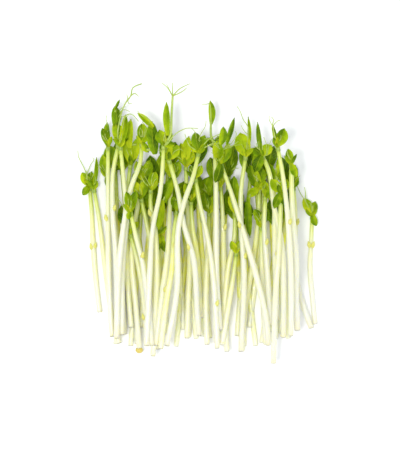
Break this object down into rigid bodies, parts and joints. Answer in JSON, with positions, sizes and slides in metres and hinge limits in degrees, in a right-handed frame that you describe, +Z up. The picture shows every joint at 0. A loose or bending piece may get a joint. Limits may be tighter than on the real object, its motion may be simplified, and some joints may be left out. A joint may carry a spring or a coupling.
{
  "type": "bunch of cut pea shoots",
  "caption": "Loose bunch of cut pea shoots lying down, pale stems fanned side by side with leafy green tops and curling tendrils.",
  "frame": {"origin": "centre of the bounding box's base, on the surface that the bunch lies on", "axes": "+Y from the cut feet towards the leafy tops, +Z up from the surface"},
  "size_m": [0.1092, 0.1258, 0.0312],
  "materials": {
    "stem": "waxy, slightly translucent",
    "leaf": "soft leaf sheen"
  },
  "bodies": {
    "root": {"stems_under_1": "stem", "tops_under_1": "leaf", "stems_under_2": "stem", "tops_under_2": "leaf", "stems_under_3": "stem", "tops_under_3": "leaf", "stem_01": "stem", "stem_02": "stem", "tops_far_left": "leaf", "stem_03": "stem", "tops_far_right": "leaf", "stem_04": "stem", "stem_05": "stem", "stem_06": "stem", "tops_low_left": "leaf", "stem_07": "stem", "stem_08": "stem", "stem_09": "stem", "stem_10": "stem", "tops_low_mid_left": "leaf", "stem_11": "stem", "stem_12": "stem", "stem_13": "stem", "stem_14": "stem", "tops_low_mid": "leaf", "stem_15": "stem", "stem_16": "stem", "stem_17": "stem", "stem_18": "stem", "tops_low_mid_right": "leaf", "stem_19": "stem", "stem_20": "stem", "stem_21": "stem", "stem_22": "stem", "tops_low_right": "leaf", "stem_23": "stem", "tops_lower_right": "leaf", "stem_24": "stem", "stem_25": "stem", "stem_26": "stem", "stem_27": "stem", "tops_top_left": "leaf", "stem_28": "stem", "stem_29": "stem", "stem_30": "stem", "tops_top_mid": "leaf", "stem_31": "stem", "stem_32": "stem", "stem_33": "stem", "tops_top_centre": "leaf", "stem_34": "stem", "stem_35": "stem", "stem_36": "stem", "tops_top_right": "leaf", "stem_37": "stem", "stem_38": "stem", "stem_39": "stem", "tops_top_far_right": "leaf"}
  },
  "joints": []
}
